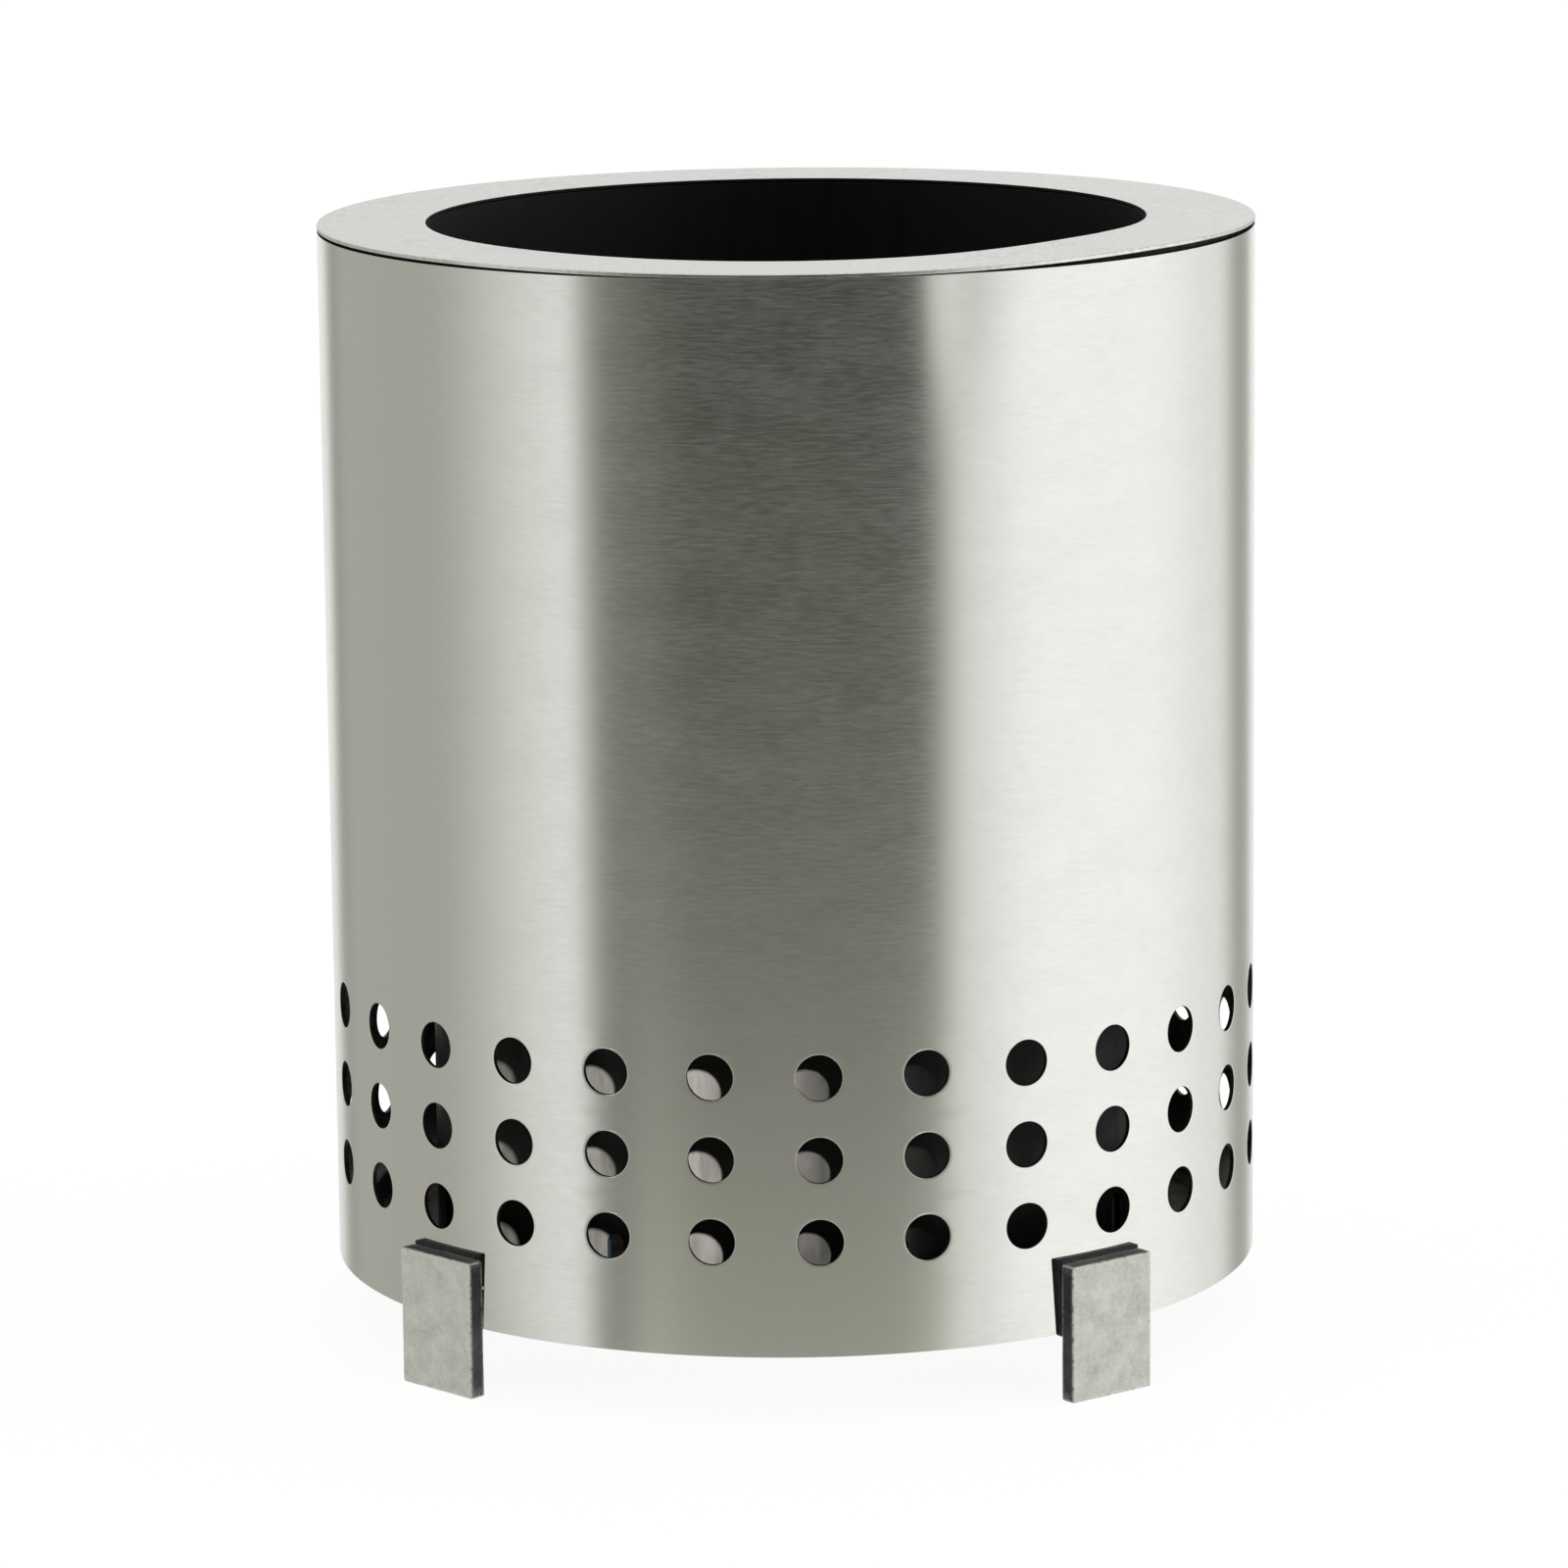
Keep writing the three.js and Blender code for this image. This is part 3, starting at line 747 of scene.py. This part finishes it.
def ash_pan(material):
    """A pressed dish turned from a profile: a floor with a shallow stiffening step, a curved corner and
    a rounded lip."""
    low, high, radius = PAN_LOW / MM, PAN_HIGH / MM, PAN_RADIUS / MM
    sheet, bend_radius, segments = 0.9, 3.0, 180
    corner, inner = (
        [(radius - bend_radius + r * math.sin(a), low + bend_radius - r * math.cos(a))
         for a in np.linspace(0, math.pi / 2, 7)]
        for r in (bend_radius, bend_radius - sheet)
    )
    under, step = [(0, 0), (30, 0), (58, 0)], [(61, 0.35), (66, 0.35)]
    outer = [(r, low + z) for r, z in under + step + [(69, 0), (80, 0)]] + corner
    lip = [(0, 0.5), (0.2, 0.1), (0.45, 0), (0.75, 0.1), (sheet, 0.5)]
    top = [(radius - r, high - z) for r, z in lip]
    floor = [(80, sheet), (69, sheet), (66, 1.2), (61, 1.2), (58, sheet), (30, sheet), (0, sheet)]
    profile = outer + top + inner[::-1] + [(r, low + z) for r, z in floor]
    points = turned(profile, segments)
    piece = make_mesh("pressed_pan", points, grid_faces(segments, len(profile), True, False), outward=True)
    settle(piece, "ash_pan", "pan_steel", [material], "ash_pan")


# ---------------- the fire tube

def ring_lift(angle):
    """How far the top ring stands off the jacket's edge, in millimetres: it all but touches on the
    camera's side, stays up by about half a millimetre elsewhere, and bows up further on the right."""
    front = angle - math.radians(CAMERA_AZIMUTH)
    wrapped = (front + math.pi) % TAU - math.pi
    sides = 0.1 + 0.5 * np.sin(np.minimum(np.abs(wrapped) * 1.6, math.pi / 2)) ** 2
    right = 0.62 * np.exp(-(((wrapped - math.radians(54)) / math.radians(22)) ** 2))
    return np.minimum(sides + right, 1.18)


def top_ring(material, coat):
    """The flat ring: a thin rectangular profile with deburred arrises, turned round the axis and
    lifted by ring_lift. The bore's edge is coated with the tube."""
    base, outer, steps = SHELL_HIGH / MM, SHELL_RADIUS / MM, 7
    face = base + RING_SHEET
    profile = rounded([(TUBE_INNER, base), (outer, base), (outer, face), (TUBE_INNER, face)], 0.2)
    across = np.linspace(TUBE_INNER + 2, outer - 2, steps)
    profile = np.concatenate([profile[:4], np.column_stack([across, np.full(steps, base)]), profile[4:12],
                              np.column_stack([across[::-1], np.full(steps, face)]), profile[12:]])
    piece = turned_body("flat_ring", profile, 240, ring_lift)
    settle(piece, "fire_tube", "ring_sheet", [material, coat], "top_ring")
    centres = np.empty(len(piece.data.polygons) * 3)
    piece.data.polygons.foreach_get("center", centres)
    reach = np.hypot(centres[0::3], centres[1::3])
    coated = (reach < (TUBE_INNER + 0.1) * MM).astype(np.int32)
    piece.data.polygons.foreach_set("material_index", coated)


def locating_collar(material):
    """The strip under the ring, with its lower edge rolled in a little."""
    low, top, outer = COLLAR_LOW / MM, SHELL_HIGH / MM - 0.05, COLLAR_OUTER - 0.1
    inner = outer - COLLAR_SHEET
    corners = [(inner, low + 1), (inner - 0.5, low + 0.2), (outer - 0.6, low), (outer, low + 1.6),
               (outer, top), (inner, top)]
    piece = turned_body("centring_strip", rounded(corners, 0.3), 200, ring_lift)
    settle(piece, "fire_tube", "tube_black", [material], "locating_collar")


def around_slot(middle, low, high, steps, rings):
    """One slot's cell of the tube, as (angle, height) points: the slot's outline, up one leg, over its
    round head and down the other, blended towards the cell's sides and top."""
    half_cell, half = math.pi / SLOTS, SLOT_WIDTH / 2
    head = low + (SLOT_HIGH - (TUBE_LOW - SHELL_LOW) / MM) - half
    legs = np.linspace(0, 1, steps + 1)[:-1]
    arc = np.linspace(math.pi, 0, 3 * steps + 1)
    slot = np.concatenate([
        np.column_stack([np.full(steps, -half), low + (head - low) * legs]),
        np.column_stack([half * np.cos(arc), head + half * np.sin(arc)]),
        np.column_stack([np.full(steps, half), head + (low - head) * (legs + 1 / steps)]),
    ])
    top = np.linspace(-1, 1, 3 * steps + 1)
    cell = np.concatenate([
        np.column_stack([np.full(steps, -half_cell), low + (high - low) * legs]),
        np.column_stack([half_cell * top, np.full(3 * steps + 1, high)]),
        np.column_stack([np.full(steps, half_cell), high + (low - high) * (legs + 1 / steps)]),
    ])
    slot[:, 0] = slot[:, 0] / TUBE_OUTER
    share = (np.linspace(0, 1, rings) ** 1.5)[:, None, None]
    blend = slot[None] * (1 - share) + cell[None] * share
    return blend + np.array([middle, 0])


def fire_tube(coat, bare):
    """The tube: arched slot cells round its foot and a plain band above, as (angle, height) grids bent
    onto its circle, whose top rises with the ring. Its inside is coated, and its outside is bare steel
    darkened as painted shade."""
    low = TUBE_LOW / MM
    joint, high = low + 30, SHELL_HIGH / MM - 0.1
    steps, rings, rows, fade, step = 6, 12, 24, 40, TAU / SLOTS
    phase = math.radians(SLOT_PHASE)
    parts = []
    for k in range(SLOTS):
        cell = around_slot(phase + k * step, low, joint, steps, rings)
        faces = grid_faces(rings, cell.shape[1])
        parts.append((place(TUBE_OUTER, cell[..., 0], cell[..., 1]), faces, cell))
    angle = phase - step / 2 + np.linspace(0, TAU, SLOTS * 3 * steps + 1)
    height = np.linspace(joint, high, rows)
    band = np.stack(np.meshgrid(angle, height, indexing="xy"), -1)
    near_top = np.clip((band[..., 1] - high + fade) / fade, 0, 1)
    raised = band[..., 1] + ring_lift(band[..., 0]) * near_top**2
    parts.append((place(TUBE_OUTER, band[..., 0], raised), grid_faces(rows, len(angle)), band))
    piece = make_mesh("fire_tube_wall", *join(parts))
    soften(piece, 0.12, thickness=TUBE_OUTER - TUBE_INNER)
    piece.modifiers["wall"].material_offset = 1
    piece.modifiers["wall"].material_offset_rim = 1
    return settle(piece, "fire_tube", "tube_black", [bare, coat], "fire_tube")


def grate_lugs(material):
    """Bent tabs that carry the grate: a strip up the tube's wall that turns in to a short shelf."""
    back = LUG_FACE - LUG_SHEET / 2
    shelf = LUG_HIGH - LUG_SHEET / 2
    for number, angle in enumerate(LUG_ANGLES, 1):
        path = bend((back, LUG_HIGH - LUG_DROP), (back, shelf), (back - LUG_REACH - 0.6, shelf), 1.6)
        local, faces = bent_strip(path, LUG_SHEET, LUG_WIDTH)
        piece = make_mesh(f"grate_tab_{number}", turn(local, angle), faces, outward=True)
        settle(piece, "fire_tube", "grate_steel", [material], f"grate_lug_{number}")


def lug_rivets(material):
    """Rivets through tab and tube: a domed head, the shank and a flatter upset head."""
    inner, outer = LUG_FACE - LUG_SHEET - 0.3, TUBE_OUTER + 0.3
    quarter = math.pi / 2
    dome = [(3.4 * math.sin(a), inner - 1.15 * math.cos(a)) for a in np.linspace(0, quarter, 7)]
    upset = [(3.3 * math.cos(a), outer + 0.1 + 0.9 * math.sin(a)) for a in np.linspace(0, quarter, 6)]
    profile = dome + [(2.0, inner + 0.05), (2.0, outer)] + upset
    for number, angle in enumerate(LUG_ANGLES, 1):
        points, faces = turned_cap(profile, 32, (0, 0, RIVET_HIGH))
        points[..., 1] *= -1
        piece = make_mesh(f"tab_rivet_{number}", turn(points, angle), faces, outward=True)
        settle(piece, "fire_tube", "grate_steel", [material], f"lug_rivet_{number}")


# ---------------- the grate

def grate(material):
    """A round rod bent to a ring, and straight rods across it with cropped, slightly domed ends."""
    low, high = GRATE_RING_LOW / MM, GRATE_RING_HIGH / MM
    radius, middle = (high - low) / 2, (high + low) / 2
    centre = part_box("grate_ring")[1].x / MM - radius - 0.1
    segments, dome = 20, 0.9
    around, quarter = np.arange(segments) / segments * TAU, np.linspace(0, math.pi / 2, 6)
    section = [(centre + radius * math.cos(a), middle + radius * math.sin(a)) for a in around]
    ring = turned_body("grate_rim", section, 180)
    settle(ring, "grate", "grate_steel", [material], "grate_ring")
    for number in range(1, GRATE_BARS + 1):
        low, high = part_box(f"grate_bar_{number}")
        thick, half = (high.z - low.z) / MM / 2, (high.y - low.y) / MM / 2
        ends = [(thick * math.sin(a), -half + dome - dome * math.cos(a)) for a in quarter]
        along = [(thick, y) for y in np.linspace(-half + 1.5, half - 1.5, 30)]
        profile = ends + along + [(r, -y) for r, y in ends[::-1]]
        centre = ((low.x + high.x) / 2 / MM, 0, (low.z + high.z) / 2 / MM)
        points, faces = turned_cap(profile, segments, centre)
        bar = make_mesh(f"grate_rod_{number}", points, faces, outward=True)
        settle(bar, "grate", "grate_steel", [material], f"grate_bar_{number}")


# ---------------- studio

def softbox(tree, azimuth, start, end, soft_start, soft_end, level):
    """A share of level where azimuth lies between start and end, fading over the soft widths."""
    rise = between(tree, azimuth, start - soft_start, start + soft_start, 0, 1, True)
    fall = between(tree, azimuth, end - soft_end, end + soft_end, 1, 0, True)
    return compute(tree, "MULTIPLY", compute(tree, "MULTIPLY", rise, fall), level)


def bearing(tree, vector):
    """The azimuth of a direction or a place, in degrees from the camera's bearing and positive to its
    right, and its height."""
    parts = add(tree, "SeparateXYZ", Vector=vector)
    back = compute(tree, "MULTIPLY", parts.outputs[1], -1.0)
    angle = compute(tree, "ARCTAN2", parts.outputs[0], back)
    degrees = compute(tree, "MULTIPLY", angle, 180 / math.pi)
    turned_by = compute(tree, "SUBTRACT", degrees, CAMERA_AZIMUTH)
    return compute(tree, "WRAP", turned_by, 180.0, -180.0), parts.outputs[2]


def studio_level(tree, azimuth):
    """The studio's brightness round the horizon: the dim side to the front, and each panel's share."""
    total = FRONT_LEVEL
    for panel in PANELS:
        total = compute(tree, "ADD", total, softbox(tree, azimuth, *panel))
    return total


def studio_world():
    """Soft light from the panels round the horizon and a softbox overhead, seen by the camera as white."""
    world = bpy.data.worlds.new("studio")
    SCENE.world = world
    world.use_nodes = True
    tree = world.node_tree
    tree.nodes.clear()
    direction = add(tree, "TexCoord").outputs["Generated"]
    azimuth, height = bearing(tree, direction)
    walls = studio_level(tree, azimuth)
    overhead = between(tree, height, 0.45, 0.75, 0.0, 1.0, True)
    above = compute(tree, "MULTIPLY", overhead, OVERHEAD_LEVEL)
    kept = compute(tree, "MULTIPLY", walls, compute(tree, "SUBTRACT", 1.0, overhead))
    level = compute(tree, "ADD", kept, above)
    share = between(tree, level, 0.1, 1.2, 0.0, 1.0)
    white = linear("#ffffff")
    tint = add(tree, "Mix", {"data_type": "RGBA"}, in0=share, in6=linear(DIM_TINT), in7=white)
    lit = add(tree, "Background", Color=tint.outputs[2], Strength=level)
    seen = add(tree, "Background", Color=white, Strength=1.0)
    by_eye = add(tree, "LightPath").outputs["Is Camera Ray"]
    mix = add(tree, "MixShader", in0=by_eye, in1=lit.outputs[0], in2=seen.outputs[0])
    add(tree, "OutputWorld", Surface=mix.outputs[0])


def stage_sheet(name, radius, height):
    """A flat disc about the axis, as a polar grid."""
    rings, segments = 24, 96
    reach = np.linspace(0, 1, rings) ** 2 * radius / MM
    angle = np.arange(segments) / segments * TAU
    points = place(reach[None], angle[:, None], height / MM)
    piece = make_mesh(name, points, grid_faces(segments, rings, True, False))
    return piece


def pale_floor():
    """The floor that the camera sees, lit and glowing to nearly white. The jacket doesn't reflect it."""
    floor = stage_sheet("pale_floor", 14.0, 0.0)
    material, tree, surface = new_material("pale_floor", Roughness=0.9)
    grain = stretched_noise(tree, add(tree, "TexCoord").outputs["Object"], (900, 900, 900), 2.0)
    tree.links.new(ramp(tree, grain, [(0.3, "#5a5a59"), (0.7, "#5e5e5d")]), surface.inputs["Base Color"])
    surface.inputs["Specular IOR Level"].default_value = 0.0
    surface.inputs["Emission Color"].default_value = linear("#ffffff")
    surface.inputs["Emission Strength"].default_value = TABLE_LEVEL
    floor.data.materials.append(material)
    floor.visible_glossy = False


def table_glow():
    """The soft light off the table, which shows only in reflections, above all low on the jacket:
    strongest near the feet, and widest in azimuth where it is furthest off."""
    glow = stage_sheet("table_glow", 3.0, 0.0002)
    material = bpy.data.materials.new("table_glow")
    material.use_nodes = True
    tree = material.node_tree
    tree.nodes.clear()
    place_of = add(tree, "TexCoord").outputs["Object"]
    azimuth, _ = bearing(tree, place_of)
    distance = add(tree, "VectorMath", {"operation": "LENGTH"}, in0=place_of).outputs["Value"]
    near = between(tree, distance, GLOW_NEAR, GLOW_REACH, 1.0, 0.0, True)
    inward = compute(tree, "SUBTRACT", 1.0, compute(tree, "DIVIDE", GLOW_FOCUS, distance))
    spread = compute(tree, "DIVIDE", azimuth, compute(tree, "MAXIMUM", inward, 0.3))
    front = softbox(tree, spread, -42, 40, 8, 8, GLOW_LEVEL)
    strength = compute(tree, "MULTIPLY", near, front)
    light = add(tree, "Emission", Color=linear(DIM_TINT), Strength=strength)
    clear = add(tree, "BsdfTransparent")
    both = add(tree, "AddShader", in0=light.outputs[0], in1=clear.outputs[0])
    add(tree, "OutputMaterial", Surface=both.outputs[0])
    glow.data.materials.append(material)
    glow.visible_camera = False
    glow.visible_diffuse = False
    glow.visible_shadow = False


def vent_lamp(*lit):
    """A snooted lamp at the upper right front, whose narrow beam falls in through the vents on the left
    and is kept to the pieces it is given, so that it leaves no spot on the jacket or the floor."""
    data = bpy.data.lights.new("vent_lamp", "SPOT")
    data.shadow_soft_size = LAMP_SIZE
    data.energy = LAMP_POWER
    data.spot_size = math.radians(LAMP_BEAM)
    data.spot_blend = 0.35
    light = bpy.data.objects.new("vent_lamp", data)
    SCENE.collection.objects.link(light)
    light.visible_glossy = False
    a, e = math.radians(LAMP_AZIMUTH + CAMERA_AZIMUTH), math.radians(LAMP_ELEVATION)
    away = np.array([math.sin(a) * math.cos(e), -math.cos(a) * math.cos(e), math.sin(e)])
    spot = away * LAMP_DISTANCE + np.array(LAMP_AIM) * MM
    aim = Matrix(np.array(look_axes(-away, 0)).T).to_4x4()
    light.matrix_world = Matrix.Translation(spot) @ aim
    reach = bpy.data.collections.new("vent_lamp_reach")
    for piece in lit:
        reach.objects.link(piece)
    light.light_linking.receiver_collection = reach


def look_axes(forward, roll):
    """Right, up and backward axes of something that looks along forward, rolled by degrees."""
    right = np.cross(forward, [0, 0, 1])
    right = right / np.linalg.norm(right)
    up = np.cross(right, forward)
    c, s = math.cos(math.radians(roll)), math.sin(math.radians(roll))
    return right * c + up * s, up * c - right * s, -forward


def camera():
    """A long lens a little above the rim, looking slightly down at the jacket's middle."""
    e = math.radians(CAMERA_ELEVATION)
    height = CAMERA_DISTANCE * math.sin(e) + CAMERA_AIM_HEIGHT
    spot = CAMERA_UNIT * MM * np.array([0, -CAMERA_DISTANCE * math.cos(e), height])
    spot[2] += SHELL_LOW
    pan, dip = math.radians(CAMERA_PAN), -e + math.radians(CAMERA_TILT)
    forward = np.array([math.sin(pan) * math.cos(dip), math.cos(pan) * math.cos(dip), math.sin(dip)])
    axes = np.array(look_axes(forward, CAMERA_ROLL))
    spot, axes = turn(spot, CAMERA_AZIMUTH), turn(axes, CAMERA_AZIMUTH)
    data = bpy.data.cameras.new("camera")
    data.lens = CAMERA_LENS
    data.sensor_width = 36
    data.clip_end = 60
    eye = bpy.data.objects.new("camera", data)
    SCENE.collection.objects.link(eye)
    eye.matrix_world = Matrix.Translation(spot) @ Matrix(axes.T).to_4x4()
    SCENE.camera = eye


# ---------------- the whole

camera()
studio_world()
pale_floor()
table_glow()

dark, fired = scaled_steel(), fired_steel("fired_wire_steel", "#57463a", "#77716a")
coat, bare = black_coating(), shaded_tube_steel()
jacket()
foot_plates(zinc_bar())
foot_spacers(dark)
foot_ledges(dark)
foot_screws(zinc_screw())
ash_pan(fired_steel("pressed_pan_steel", "#6b5b4d", "#8a857d"))
top_ring(satin_stainless(), coat)
locating_collar(coat)
vent_lamp(fire_tube(coat, bare))
grate_lugs(fired)
lug_rivets(fired)
grate(fired)

SCENE.view_settings.view_transform = "Standard"
SCENE.cycles.use_denoising = True
